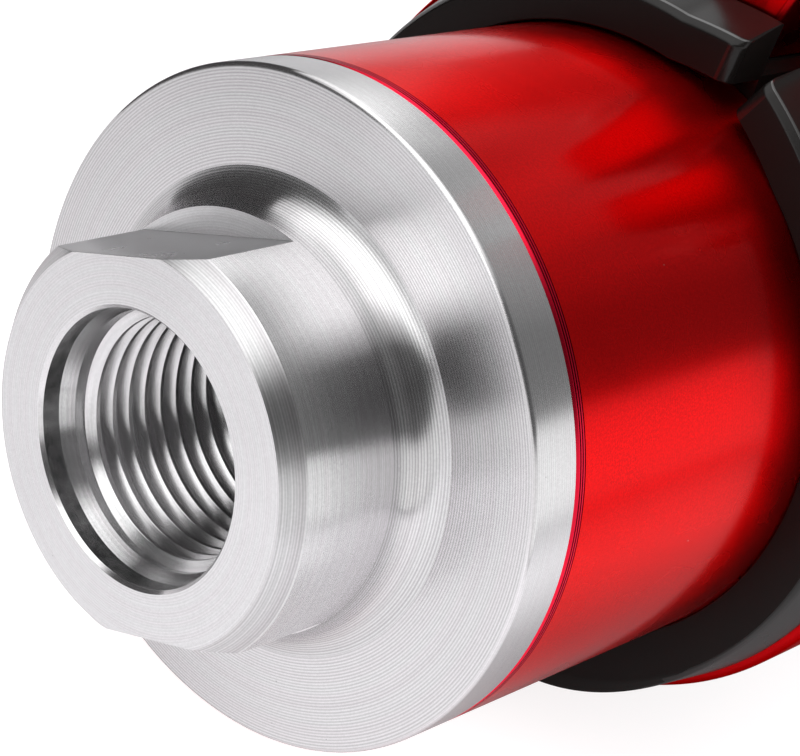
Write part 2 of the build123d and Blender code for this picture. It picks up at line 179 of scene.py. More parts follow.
class Shader(NodeTree):
    # a new material with its node tree and surface
    def __init__(self, name):
        self.material = bpy.data.materials.new(name)
        self.material.use_nodes = True
        super().__init__(self.material.node_tree)
        self.surface = self.tree.nodes["Principled BSDF"]

    def setSurface(self, values):
        for name, value in values.items():
            self.feed(value, self.surface.inputs[name])

    def place(self):
        # Object coordinates with the filter axis moved onto the X axis
        coordinates = self.add("ShaderNodeTexCoord")
        mapping = self.add("ShaderNodeMapping")
        mapping.inputs["Location"].default_value = (0, 0, -axisHeight)
        self.link(coordinates.outputs["Object"], mapping.inputs["Vector"])
        return mapping.outputs[0]

    def noise(self, vector, scale, detail, roughness, dimensions="3D"):
        node = self.add("ShaderNodeTexNoise", noise_dimensions=dimensions)
        node.inputs["Scale"].default_value = scale
        node.inputs["Detail"].default_value = detail
        node.inputs["Roughness"].default_value = roughness
        self.link(vector, node.inputs["Vector"])
        return node.outputs["Fac"]

    def specks(self, vector, scale):
        # distance to scattered points, in cells
        node = self.add("ShaderNodeTexVoronoi", feature="F1")
        node.inputs["Scale"].default_value = scale
        self.link(vector, node.inputs["Vector"])
        return node.outputs["Distance"]

    def shaded(self, colour, tone):
        # a colour times a grey
        return self.mix(1.0, colour, self.combine(tone, tone, tone), "MULTIPLY")

    def bump(self, height, strength, distance):
        node = self.add("ShaderNodeBump")
        node.inputs["Strength"].default_value = strength
        node.inputs["Distance"].default_value = distance
        self.link(height, node.inputs["Height"])
        self.link(node.outputs[0], self.surface.inputs["Normal"])

    def turnedTangent(self, parts):
        # direction round the filter axis, so that turning marks stretch the reflections across them
        around = self.combine(0.0, self.math("MULTIPLY", parts[2], -1.0), parts[1])
        turn = self.add("ShaderNodeVectorTransform", vector_type="VECTOR",
                        convert_from="OBJECT", convert_to="WORLD")
        self.link(around, turn.inputs[0])
        normal = self.add("ShaderNodeVectorMath", operation="NORMALIZE")
        self.link(turn.outputs[0], normal.inputs[0])
        self.link(normal.outputs[0], self.surface.inputs["Tangent"])


def turnedMetal(name, settings):
    # turned metal: fine and broad rings, the even rings of the tool's feed, a cloud, a grain and flecks
    shader = Shader(name)
    shader.setSurface({"Metallic": 1.0, "Anisotropic": settings["anisotropy"], "Anisotropic Rotation": 0.25,
                       "Specular Tint": settings["edgeTint"], "Coat Weight": settings["coat"],
                       "Coat IOR": 1.13, "Coat Roughness": 0.14})
    place = shader.place()
    parts = shader.parts(place)
    shader.turnedTangent(parts)
    length = shader.add("ShaderNodeVectorMath", operation="LENGTH")
    shader.link(shader.combine(0.0, parts[1], parts[2]), length.inputs[0])
    radius = length.outputs["Value"]
    rings = shader.combine(parts[0], radius)
    fine = shader.noise(rings, settings["markScale"], 2.0, 0.6, "2D")
    broad = shader.noise(rings, settings["markScale"] / 4, 1.0, 0.5, "2D")
    cloud = shader.noise(place, settings["cloudScale"], 3.0, 0.6)
    grain = shader.noise(place, settings["grainScale"], 1.0, 0.5)
    along = shader.math("MULTIPLY", shader.math("ADD", parts[0], radius), 2 * pi / settings["pitch"])
    feed = shader.spread(shader.math("SINE", along), 0.3, 0.7, -1, 1)
    fineMarks, broadMarks, feedMarks = [shader.math("MULTIPLY", marks, share)
                                        for marks, share in zip((fine, broad, feed), settings["shares"])]
    marks = shader.math("ADD", shader.math("ADD", fineMarks, broadMarks), feedMarks)
    ringed = shader.spread(marks, 1 - settings["markContrast"], 1.0, 0.35, 0.65)
    clouded = shader.spread(cloud, 1 - settings["cloudContrast"], 1.0, 0.3, 0.7)
    grained = shader.spread(grain, 1 - settings["grainContrast"], 1.0, 0.35, 0.65)
    tone = shader.math("MULTIPLY", shader.math("MULTIPLY", ringed, clouded), grained)
    tint = shader.mix(shader.spread(broad, 0.0, 1.0, 0.35, 0.65), settings["warm"], settings["cool"])
    colour = shader.mix(1.0, shader.shaded(settings["colour"], tone), tint, "MULTIPLY")
    flecks = shader.spread(shader.specks(place, 300), 0.9, 0.0, 0.014, 0.024)
    rough = settings["roughness"]
    shader.setSurface({"Base Color": shader.mix(flecks, colour, settings["fleck"]),
                       "Roughness": shader.spread(cloud, rough * 0.9, rough * 1.15, 0.3, 0.7)})
    shader.bump(marks, settings["markDepth"], 0.01 * mm)
    return shader.material


capMetal = {"colour": (0.82, 0.81, 0.82, 1), "edgeTint": (1, 1, 1, 1), "roughness": 0.2, "anisotropy": 0.95,
            "markScale": 6000, "markContrast": 0.15, "markDepth": 0.5, "shares": (0.45, 0.13, 0.42),
            "pitch": 0.24 * mm, "cloudScale": 60, "cloudContrast": 0.03, "grainScale": 4200,
            "grainContrast": 0.06, "fleck": (0.3, 0.3, 0.3, 1), "warm": (1, 0.99, 0.994, 1),
            "cool": (0.99, 1, 0.995, 1), "coat": 0.0}
redMetal = {"colour": (1.0, 0.004, 0.006, 1), "edgeTint": (1, 0.42, 0.42, 1), "roughness": 0.27,
            "anisotropy": 0.75, "markScale": 3500, "markContrast": 0.06, "markDepth": 0.2,
            "shares": (0.45, 0.13, 0.42), "pitch": 0.3 * mm, "cloudScale": 80, "cloudContrast": 0.05,
            "grainScale": 5200, "grainContrast": 0.14, "fleck": (1, 0.75, 0.7, 1), "warm": (1, 1, 1, 1),
            "cool": (0.99, 1, 1, 1), "coat": 1.0}
turnedAluminium = turnedMetal("turnedAluminium", capMetal)
coarseTurned = turnedMetal("coarseTurned", {
    **capMetal, "colour": (0.74, 0.73, 0.74, 1), "roughness": 0.3, "markScale": 3600, "markContrast": 0.34,
    "markDepth": 0.9, "pitch": 0.32 * mm})
flangeTurned = turnedMetal("flangeTurned", {
    **capMetal, "markContrast": 0.3, "shares": (0.22, 0.04, 0.74), "pitch": 0.27 * mm})
filletTurned = turnedMetal("filletTurned", {
    **capMetal, "colour": (0.78, 0.77, 0.78, 1), "markContrast": 0.36, "markDepth": 1.2,
    "shares": (0.3, 0.05, 0.65), "pitch": 0.34 * mm})
# painted shade: the seat inside the port mouth is drawn at half the cap's brightness for the shade in the
# port, and its blotches stand for chatter marks
shadedTurnedSeat = turnedMetal("shadedTurnedSeat", {
    **capMetal, "colour": (0.4, 0.4, 0.4, 1), "roughness": 0.22, "cloudScale": 900, "cloudContrast": 0.5,
    "shares": (0.5, 0.3, 0.2)})
redAnodised = turnedMetal("redAnodised", redMetal)
redLip = turnedMetal("redLip", {
    **redMetal, "colour": (0.9, 0.01, 0.045, 1), "edgeTint": (1, 0.44, 0.52, 1), "grainContrast": 0.05})
# painted shade: the tube's end grooves get a much darker red with no coat, for the shade in the grooves
shadedRedGroove = turnedMetal("shadedRedGroove", {
    **redMetal, "colour": (0.18, 0.002, 0.01, 1), "edgeTint": (1, 0.3, 0.4, 1), "grainContrast": 0.05,
    "coat": 0.0})


def rubber(name, settings):
    shader = Shader(name)
    place = shader.place()
    grain = shader.noise(place, settings["grainScale"], 3.0, 0.6)
    cloud = shader.noise(place, 90, 2.0, 0.5)
    dark, rough = settings["colour"], settings["roughness"]
    light = tuple(channel * 1.3 for channel in dark[:3]) + (1,)
    shader.setSurface({"IOR": settings["ior"],
                       "Base Color": shader.mix(shader.spread(cloud, 0.0, 1.0, 0.35, 0.65), dark, light),
                       "Roughness": shader.spread(cloud, rough - 0.04, rough + 0.05, 0.3, 0.7)})
    shader.bump(grain, settings["grainDepth"], 0.03 * mm)
    return shader.material


cutRubber = rubber("cutRubber", {"colour": (0.005, 0.0042, 0.0039, 1), "roughness": 0.5, "ior": 1.22,
                                 "grainScale": 1500, "grainDepth": 0.35})
skinRubber = rubber("skinRubber", {"colour": (0.0056, 0.0048, 0.0045, 1), "roughness": 0.24, "ior": 1.33,
                                   "grainScale": 1800, "grainDepth": 0.2})
# painted highlight: a lighter, shinier copy of the rubber, put only on the crests of the top half to draw a
# bright line there
crestHighlightRubber = rubber("crestHighlightRubber", {"colour": (0.0066, 0.0056, 0.0054, 1), "roughness": 0.16, "ior": 2.0,
                                     "grainScale": 1800, "grainDepth": 0.1})
sealRubber = rubber("sealRubber", {"colour": (0.012, 0.012, 0.012, 1), "roughness": 0.35, "ior": 1.4,
                                   "grainScale": 2500, "grainDepth": 0.1})


def plainMetal(name, colour, roughness, edgeTint=(1, 1, 1, 1)):
    shader = Shader(name)
    place = shader.place()
    cloud = shader.noise(place, 220, 3.0, 0.6)
    tone = shader.spread(cloud, 0.88, 1.0, 0.3, 0.7)
    rough = shader.spread(cloud, roughness * 0.85, roughness * 1.2, 0.3, 0.7)
    shader.setSurface({"Metallic": 1.0, "Specular Tint": edgeTint, "Roughness": rough,
                       "Base Color": shader.shaded(colour, tone)})
    shader.bump(shader.noise(place, 2600, 2.0, 0.5), 0.12, 0.02 * mm)
    return shader.material


zincSteel = plainMetal("zincSteel", (0.62, 0.62, 0.6, 1), 0.28)
milledAluminium = plainMetal("milledAluminium", (0.72, 0.72, 0.73, 1), 0.3)
redMilled = plainMetal("redMilled", (0.5, 0.004, 0.006, 1), 0.3, (1, 0.3, 0.3, 1))
meshSteel = plainMetal("meshSteel", (0.5, 0.5, 0.5, 1), 0.42)
print("finishes made")


# End caps, with places along X measured from the cap's outer end, in mm

cap = {"neckR": 18.45, "neckChamfer": 1.6, "neckLength": 14.8, "filletR": 3.8, "filletDip": 0.1,
       "filletSteps": 12, "flangeR": 30.0, "rimR": 0.5, "jointAt": 20.0, "jointChamfer": 0.2,
       "spigotR": 26.92, "spigotEnd": 34.0, "spigotChamfer": 0.5, "threadRootR": 26.05, "threadAt": 26.4,
       "threadLead": 0.6, "groove": (22.0, 25.4, 24.72), "passageR": 8.0, "portR": 11.11, "seatR": 11.7,
       "mouth": 0.33, "seatEnd": 2.03, "coneEnd": 3.33, "portEnd": 18.5, "drillEnd": 20.3,
       "flatHalf": 16.0, "flatEnd": 10.9, "flatTurn": 42.5}
pocket = [(34.0, 12.65), (32.4, 12.65), (32.4, 10.35), (34.0, 10.35), (34.0, 8.0)]
nipple = [(34.0, 10.6), (35.0, 10.6), (35.0, 9.4), (37.0, 9.4), (37.0, 10.6), (42.5, 10.6), (43.0, 10.1),
          (43.0, 8.0)]
capFinishes = [turnedAluminium, milledAluminium, coarseTurned, flangeTurned, filletTurned, shadedTurnedSeat]


def capProfile(inner):
    c = cap
    filletX = c["neckLength"] - c["filletR"] + c["filletDip"]
    sweep = asin(1 - c["filletDip"] / c["filletR"])
    turns = [sweep * i / c["filletSteps"] for i in range(c["filletSteps"] + 1)]
    fillet = [(filletX + c["filletR"] * sin(turn), c["neckR"] + c["filletR"] * (1 - cos(turn)))
              for turn in turns]
    grooveStart, grooveEnd, grooveR = c["groove"]
    points = [
        (0, c["neckR"] - c["neckChamfer"]), (c["neckChamfer"], c["neckR"]), *fillet,
        (c["neckLength"], c["flangeR"]),
        (c["jointAt"] - c["jointChamfer"], c["flangeR"]), (c["jointAt"], c["flangeR"] - c["jointChamfer"]),
        (c["jointAt"], c["spigotR"]), (grooveStart, c["spigotR"]), (grooveStart, grooveR),
        (grooveEnd, grooveR), (grooveEnd, c["spigotR"]), (c["threadAt"] - c["threadLead"], c["spigotR"]),
        (c["threadAt"], c["threadRootR"]), (c["spigotEnd"] - c["spigotChamfer"], c["threadRootR"]),
        (c["spigotEnd"], c["threadRootR"] - c["spigotChamfer"]), *inner,
        (c["drillEnd"], c["passageR"]), (c["portEnd"], c["portR"]), (c["coneEnd"], c["portR"]),
        (c["seatEnd"], c["seatR"]), (c["mouth"], c["seatR"]), (0, c["seatR"] + c["mouth"]),
    ]
    return [(depth - halfLength / mm, radius) for depth, radius in points]


def capFinish(depth, radius):
    # the finish at one place of the turned cap
    c = cap
    filletTop = c["neckR"] + c["filletR"]
    if depth < c["neckChamfer"] and radius > c["neckR"] - c["neckChamfer"]:
        return coarseTurned
    if c["neckLength"] - 0.1 < depth < c["neckLength"] + 0.02 and radius > filletTop:
        return flangeTurned
    if c["neckLength"] - c["filletR"] < depth < c["neckLength"] and c["neckR"] < radius < filletTop:
        return filletTurned
    # the seat inside the port mouth takes the darker finish of painted shade
    if c["mouth"] < depth < c["seatEnd"] and radius < c["seatR"] + 0.3:
        return shadedTurnedSeat
    return turnedAluminium


def cutWrenchFlats(bm):
    way = Vector((0, sin(radians(cap["flatTurn"])), cos(radians(cap["flatTurn"]))))
    endX = -halfLength + cap["flatEnd"] * mm
    cutAlong(bm, bm.faces[:], (endX, 0, 0), (1, 0, 0))
    for side in (1, -1):
        sideWay = way * side
        wallPoint = centreLine + sideWay * cap["flatHalf"] * mm
        front = [face for face in bm.faces if face.calc_center_median().x < endX]
        cutAlong(bm, front, wallPoint, sideWay)
        beyond = [face for face in bm.faces if face.calc_center_median().x < endX
                  and (face.calc_center_median() - wallPoint).dot(sideWay) > weldGap]
        bmesh.ops.delete(bm, geom=beyond, context="FACES")
        rim = openEnds(bm)
        arc = [edge for edge in rim if all(abs(vert.co.x - endX) < weldGap for vert in edge.verts)]
        cut = [edge for edge in rim if edge not in arc]
        ends = [vert for vert in {vert for edge in arc for vert in edge.verts}
                if sum(edge in arc for edge in vert.link_edges) == 1]
        chord = bm.edges.new(ends)
        for loop, finish in ((cut, milledAluminium), (arc, turnedAluminium)):
            made = bmesh.ops.contextual_create(bm, geom=loop + [chord])
            for face in made["faces"]:
                face.material_index = capFinishes.index(finish)


def buildCap(name, node, body, inner, facingOut):
    bm = turnProfile(capProfile(inner), 288)
    roundRing(bm, cap["neckLength"] - halfLength / mm, cap["flangeR"], cap["rimR"], 10)
    for face in bm.faces:
        middle = face.calc_center_median()
        finish = capFinish((middle.x + halfLength) / mm, radiusOf(middle) / mm)
        face.material_index = capFinishes.index(finish)
    cutWrenchFlats(bm)
    if not facingOut:
        bmesh.ops.scale(bm, vec=(-1, 1, 1), verts=bm.verts)
    piece = finishPiece(name, bm, capFinishes, body, sharpAngle=11, edgeWidth=0.07)
    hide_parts(node)


buildCap("inletCap", "inlet_cap", "inlet_cap_body", pocket, True)
buildCap("outletCap", "outlet_cap", "outlet_cap_body", nipple, False)


# Threads, as ridges wound on the plain walls

portThread = {"pitch": 1.814, "turns": 8.1, "startAt": 3.95, "rootR": 11.25, "tipR": 10.22,
              "rootHalf": 0.84, "tipHalf": 0.2, "stepsPerTurn": 96, "fadeTurns": 0.35}
spigotThread = {"pitch": 1.5, "turns": 4.2, "startAt": 27.1, "rootR": 25.95, "tipR": 26.9,
                "rootHalf": 0.68, "tipHalf": 0.12, "stepsPerTurn": 128, "fadeTurns": 0.3}


def windThread(bm, t):
    # winds one ridge about the filter axis into a mesh, with both ends fading into the wall
    section = [(-t["rootHalf"], t["rootR"]), (-t["tipHalf"], t["tipR"]), (t["tipHalf"], t["tipR"]),
               (t["rootHalf"], t["rootR"])]
    startX = t["startAt"] - halfLength / mm
    before = len(bm.verts)
    loop = [bm.verts.new(((startX + x) * mm, 0, axisHeight + radius * mm)) for x, radius in section]
    edges = [bm.edges.new(pair) for pair in zip(loop, loop[1:] + loop[:1])]
    steps = round(t["turns"] * t["stepsPerTurn"])
    bmesh.ops.spin(bm, geom=loop + edges, cent=centreLine, axis=(1, 0, 0), angle=2 * pi * t["turns"],
                   steps=steps, dvec=(t["pitch"] / t["stepsPerTurn"] * mm, 0, 0))
    bm.verts.ensure_lookup_table()
    wound = bm.verts[before:]
    fade = t["fadeTurns"] * t["stepsPerTurn"]
    for number, vert in enumerate(wound):
        step = number // len(section)
        fromEnd = min(step, steps - step)
        if fromEnd < fade and abs(radiusOf(vert.co) - t["tipR"] * mm) < sameSpot:
            share = fromEnd / fade
            radius = (t["rootR"] + (t["tipR"] - t["rootR"]) * share) * mm
            across = (vert.co - centreLine) * Vector((0, 1, 1))
            vert.co = Vector((vert.co.x, 0, axisHeight)) + across.normalized() * radius
    ends = {edge for vert in wound for edge in vert.link_edges if edge.is_boundary}
    bmesh.ops.holes_fill(bm, edges=list(ends), sides=len(section))


def buildThread(name, body, t, facingOut):
    bm = bmesh.new()
    windThread(bm, t)
    if not facingOut:
        bmesh.ops.rotate(bm, cent=centreLine, matrix=Matrix.Rotation(pi, 3, "Z"), verts=bm.verts)
    finishPiece(name, bm, [turnedAluminium], body, sharpAngle=25, edgeWidth=0.06)


buildThread("inletPortThread", "inlet_cap_body", portThread, True)
buildThread("outletPortThread", "outlet_cap_body", portThread, False)
buildThread("inletSpigotThread", "inlet_cap_body", spigotThread, True)
buildThread("outletSpigotThread", "outlet_cap_body", spigotThread, False)
print("caps and threads made")


# Tube

tube = {"halfLength": 52.0, "outerR": 30.0, "innerR": 27.0, "lip": 0.22, "grooveDepth": 0.16,
        "grooveSlope": 0.05, "grooves": ((51.66, 51.52), (51.37, 51.23), (51.08, 50.96))}
tubeFinishes = [redAnodised, redLip, shadedRedGroove]


def buildTube():
    half, outer, inner, lip = tube["halfLength"], tube["outerR"], tube["innerR"], tube["lip"]
    low, slope = outer - tube["grooveDepth"], tube["grooveSlope"]
    side = [(half, inner), (half, outer - lip), (half - lip, outer)]
    for near, far in tube["grooves"]:
        side += [(near, outer), (near - slope, low), (far + slope, low), (far, outer)]
    points = side + [(-x, radius) for x, radius in reversed(side)]
    bm = turnProfile(points, 288)
    lastGroove = tube["grooves"][-1][1] * mm
    for face in bm.faces:
        middle = face.calc_center_median()
        if abs(middle.x) > lastGroove and radiusOf(middle) > low * mm - sameSpot:
            # faces in the grooves get the darker red of the painted shade, the others at the ends get the
            # lip's red
            inGroove = radiusOf(middle) < (outer - 0.01) * mm and abs(middle.x) < (half - lip) * mm
            face.material_index = tubeFinishes.index(shadedRedGroove if inGroove else redLip)
    piece = finishPiece("bodyTube", bm, tubeFinishes, "filter_body", edgeWidth=0.02)
    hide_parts("body_tube")


buildTube()


# Sleeve, split by a notch at the top, with turns about the axis from the top in degrees

sleeve = {"innerR": 30.05, "channelR": 32.65, "faceR": 34.3, "frontR": 34.9, "backR": 36.1,
          "channelHalf": 13.0, "flangeEnd": 18.5, "bevelEnd": 17.8, "edgeBand": 0.35, "backBand": 0.5,
          "faceEdge": (0.18, 4), "boreEdge": (0.25, 4), "frontEdge": (0.2, 5), "backEdge": (0.3, 4),
          "offset": 0.5, "offsetTurn": -140.0, "bulges": ((1.2, -145.0), (-0.35, -98.0)),
          "bulgeReach": 22.0, "walls": {1: (0.2, 1.5), -1: (-1.05, -2.2)}, "notchHalf": 9.0,
          "endR": 1.3, "endSteps": 6, "endReach": 3.0, "highReach": (60.0, 13.0), "highRise": (0.8, 1.65),
          "lowReach": (18.0, 18.0), "lowRise": (0.6, 0.75), "riseShape": 1.15,
          "cutTurn": -160.0, "cutReach": (48.0, 13.0), "crestHighlightTurn": 75.0, "crestHighlightHalf": 0.09}
sleeveFinishes = [cutRubber, skinRubber, crestHighlightRubber]


def turnApart(turn, other):
    # how far a turn between -180 and 180 is from one below 0
    return min(abs(turn - other), abs(turn - (other + 360)))


def sleeveLift(turn):
    # how far a flange rises off the tube beside the notch, in mm
    high = turn > 0
    rises = sleeve["highRise" if high else "lowRise"]
    reaches = sleeve["highReach" if high else "lowReach"]
    return sum(rise * max(0.0, 1 - abs(turn) / reach) ** sleeve["riseShape"]
               for rise, reach in zip(rises, reaches))


def flangeSwell(x, radius, turn):
    # the flange sits a little low on the tube, and its outer edge bulges more underneath, in mm
    s = sleeve
    atFace = s["offset"] * cos(radians(turn - s["offsetTurn"]))
    atEdge = atFace
    for swell, middle in s["bulges"]:
        atEdge += swell * exp(-(turnApart(turn, middle) / s["bulgeReach"]) ** 2)
    if x < s["bevelEnd"]:
        return atEdge * max(0.0, x - s["channelHalf"]) / (s["bevelEnd"] - s["channelHalf"])
    if radius < s["faceR"]:
        return atFace * (radius - s["innerR"]) / (s["faceR"] - s["innerR"])
    share = min(1.0, (radius - s["faceR"]) / (s["frontR"] - s["faceR"]))
    return atFace + (atEdge - atFace) * share


def turnSleeve():
    # the sleeve as a full ring, with its edges rounded and its flanges lifted off the tube
    s = sleeve
    half, end, band, backBand = s["channelHalf"], s["flangeEnd"], s["edgeBand"], s["backBand"]
    rise = (s["backR"] - s["frontR"]) / (s["bevelEnd"] - half)
    side = [(half - 0.15, s["innerR"]), (half + 0.05, s["innerR"]), (end, s["innerR"]),
            (end, s["faceR"] - band), (end, s["faceR"]), (s["bevelEnd"], s["frontR"]),
            (s["bevelEnd"] - band, s["frontR"] + band * rise),
            (half + backBand, s["backR"] - backBand * rise), (half, s["backR"]),
            (half, s["channelR"] + 0.3), (half, s["channelR"])]
    points = side + [(-x, radius) for x, radius in reversed(side)]
    bm = turnProfile(points, 360)
    for x in (end, -end):
        roundRing(bm, x, s["faceR"], *s["faceEdge"])
        roundRing(bm, x, s["innerR"], *s["boreEdge"])
        roundRing(bm, x * s["bevelEnd"] / end, s["frontR"], *s["frontEdge"])
    for x in (half, -half):
        roundRing(bm, x, s["backR"], *s["backEdge"])
    for vert in bm.verts:
        radius = radiusOf(vert.co)
        if abs(vert.co.x) < (half + 0.03) * mm and radius < (s["channelR"] + 0.2) * mm:
            continue
        turn = degrees(atan2(vert.co.y, vert.co.z - axisHeight))
        lift = (sleeveLift(turn) + flangeSwell(abs(vert.co.x) / mm, radius / mm, turn)) * mm
        vert.co += Vector((0, vert.co.y, vert.co.z - axisHeight)).normalized() * lift
    return bm


def notchWall(side):
    # where a wall of the notch starts at the tube, in mm, and how much it leans outwards
    inner, outer = sleeve["walls"][side]
    return inner, (outer - inner) / (sleeve["backR"] - sleeve["innerR"])


def beyondWall(point, side):
    # distance past one wall, in mm, positive inside the rubber
    inner, lean = notchWall(side)
    height = (point.z - axisHeight) / mm - sleeve["innerR"]
    return (point.y / mm - inner - lean * height) * side / hypot(1, lean)


def intoRubber(point):
    return beyondWall(point, 1 if point.y > 0 else -1)


def aroundNotch(point):
    return point.z > axisHeight and abs(point.y) < sleeve["notchHalf"] * mm


def cutNotch(bm):
    # cuts the sleeve at both walls, and beside them for the round that follows, and opens the notch
    s = sleeve
    turns = [radians(90 / s["endSteps"] * i) for i in range(1, s["endSteps"] + 1)]
    steps = [0.0] + [s["endR"] * (1 - cos(turn)) for turn in turns]
    for side in (1, -1):
        inner, lean = notchWall(side)
        wallWay = Vector((0, 1, -lean)).normalized() * side
        for step in steps:
            wallPoint = centreLine + Vector((0, inner, s["innerR"])) * mm + wallWay * step * mm
            top = [face for face in bm.faces if aroundNotch(face.calc_center_median())]
            cutAlong(bm, top, wallPoint, wallWay)

    def inNotch(point):
        return point.z > axisHeight and beyondWall(point, 1) < -1e-5 and beyondWall(point, -1) < -1e-5
    bmesh.ops.delete(bm, geom=[f for f in bm.faces if inNotch(f.calc_center_median())], context="FACES")


def sleeveFinish(middle):
    # the flange faces are cut, but not where they turn into the notch, and underneath the cut finish also
    # covers the bevel; the crests on the top half get a painted highlight line of lighter, shinier rubber
    s = sleeve
    nearNotch = aroundNotch(middle) and intoRubber(middle) < s["endR"]
    turn = degrees(atan2(middle.y, middle.z - axisHeight))
    share = (s["flangeEnd"] - abs(middle.x) / mm) / (s["flangeEnd"] - s["bevelEnd"])
    reach, narrowing = s["cutReach"]
    below = turnApart(turn, s["cutTurn"]) < reach - narrowing * share
    onFace = abs(middle.x) > (s["bevelEnd"] - 0.1 if below else s["flangeEnd"] - 0.01) * mm
    if onFace and not nearNotch:
        return cutRubber
    onLitCrest = abs(abs(middle.x) - s["bevelEnd"] * mm) < s["crestHighlightHalf"] * mm and abs(turn) < s["crestHighlightTurn"]
    return crestHighlightRubber if onLitCrest else skinRubber


def roundNotchEnds(bm):
    # the notch's walls turn into the flange faces with a round
    s = sleeve
    for vert in bm.verts:
        if vert.co.z < axisHeight or abs(vert.co.y) > s["notchHalf"] * mm:
            continue
        depth = max(0.0, intoRubber(vert.co))
        if depth < s["endR"]:
            back = s["endR"] - (s["endR"] ** 2 - (s["endR"] - depth) ** 2) ** 0.5
            fromEnd = abs(vert.co.x) / mm - s["flangeEnd"]
            share = min(1.0, max(0.0, (fromEnd + s["endReach"]) / s["endReach"]))
            vert.co.x -= back * share * mm * (1 if vert.co.x > 0 else -1)


def buildSleeve():
    bm = turnSleeve()
    cutNotch(bm)
    for face in bm.faces:
        face.material_index = sleeveFinishes.index(sleeveFinish(face.calc_center_median()))
    rim = openEnds(bm)
    for side in (1, -1):
        wall = [edge for edge in rim if (edge.verts[0].co.y + edge.verts[1].co.y) * side > 0]
        for face in bmesh.ops.contextual_create(bm, geom=wall)["faces"]:
            face.material_index = sleeveFinishes.index(cutRubber)
    roundNotchEnds(bm)
    piece = finishPiece("mountSleeve", bm, sleeveFinishes, "filter_body",
                        edgeWidth=0.22, edgeSegments=3)
    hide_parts("mount_sleeve")


buildSleeve()
print("tube and sleeve made")


# Clamp

clamp = {"outerR": 37.0, "boreR": 32.75, "halfWidth": 12.7, "gapHalf": 2.6, "earY": 11.6, "earTop": 52.0,
         "earCornerR": 4.0, "earBlendR": 4.0, "footY": 17.0, "footZ": -41.0, "footBlendR": 5.0,
         "footCornerR": 1.5, "edge": 0.9, "screwX": 6.5, "screwZ": 45.0, "screwHoleR": 2.75,
         "footHoleR": 3.0, "footHoleY": 10.0, "footHoleDepth": 7.0, "footHoleCone": 1.4, "holeSides": 40}


def arcPoints(y, z, radius, fromAngle, toAngle, steps):
    # points on an arc in the (y, z) plane, angles in degrees from +Y towards +Z
    angles = [radians(fromAngle + (toAngle - fromAngle) * i / steps) for i in range(steps + 1)]
    return [(y + radius * cos(angle), z + radius * sin(angle)) for angle in angles]


def clampOutline():
    # right half of the clamp's front view, from the gap round to the foot, then mirrored
    c = clamp
    blendY = c["earY"] + c["earBlendR"]
    blendZ = sqrt((c["outerR"] + c["earBlendR"]) ** 2 - blendY ** 2)
    footY = c["footY"] + c["footBlendR"]
    footZ = -sqrt((c["outerR"] + c["footBlendR"]) ** 2 - footY ** 2)
    earEnd = degrees(atan2(blendZ, blendY))
    footStart = degrees(atan2(footZ, footY))
    earR, footR = c["earCornerR"], c["footCornerR"]
    outer = [(c["gapHalf"], c["earTop"])]
    outer += arcPoints(c["earY"] - earR, c["earTop"] - earR, earR, 90, 0, 10)
    outer += arcPoints(blendY, blendZ, c["earBlendR"], 180, 180 + earEnd, 10)
    outer += arcPoints(0, 0, c["outerR"], earEnd, footStart, 90)[1:-1]
    outer += arcPoints(footY, footZ, c["footBlendR"], 180 + footStart, 180, 8)
    outer += arcPoints(c["footY"] - footR, c["footZ"] + footR, footR, 0, -90, 5)
    gapTurn = degrees(atan2(sqrt(c["boreR"] ** 2 - c["gapHalf"] ** 2), c["gapHalf"]))
    bore = arcPoints(0, 0, c["boreR"], 180 - gapTurn, gapTurn + 360, 200)
    return outer + [(-y, z) for y, z in reversed(outer)] + bore


def openFace(bm, places, radius, axis, level):
    # opens round holes in the largest flat face at one level of an axis, and gives their rings of edges
    flat = [face for face in bm.faces if abs(abs(face.normal[axis]) - 1) < 1e-4
            and abs(face.calc_center_median()[axis] - level) < weldGap]
    face = max(flat, key=lambda each: each.calc_area())
    outline = list(face.edges)
    bmesh.ops.delete(bm, geom=[face], context="FACES_ONLY")
    tilt = Matrix.Rotation(pi / 2, 4, "X") if axis == 1 else Matrix.Identity(4)
    rings = []
    for spot in places:
        centre = Vector(spot)
        centre[axis] = level
        made = bmesh.ops.create_circle(bm, segments=clamp["holeSides"], radius=radius,
                                       matrix=Matrix.Translation(centre) @ tilt)
        rings.append(list({edge for vert in made["verts"] for edge in vert.link_edges}))
    ringEdges = [edge for ring in rings for edge in ring]
    bmesh.ops.triangle_fill(bm, use_beauty=True, edges=outline + ringEdges)
    return rings


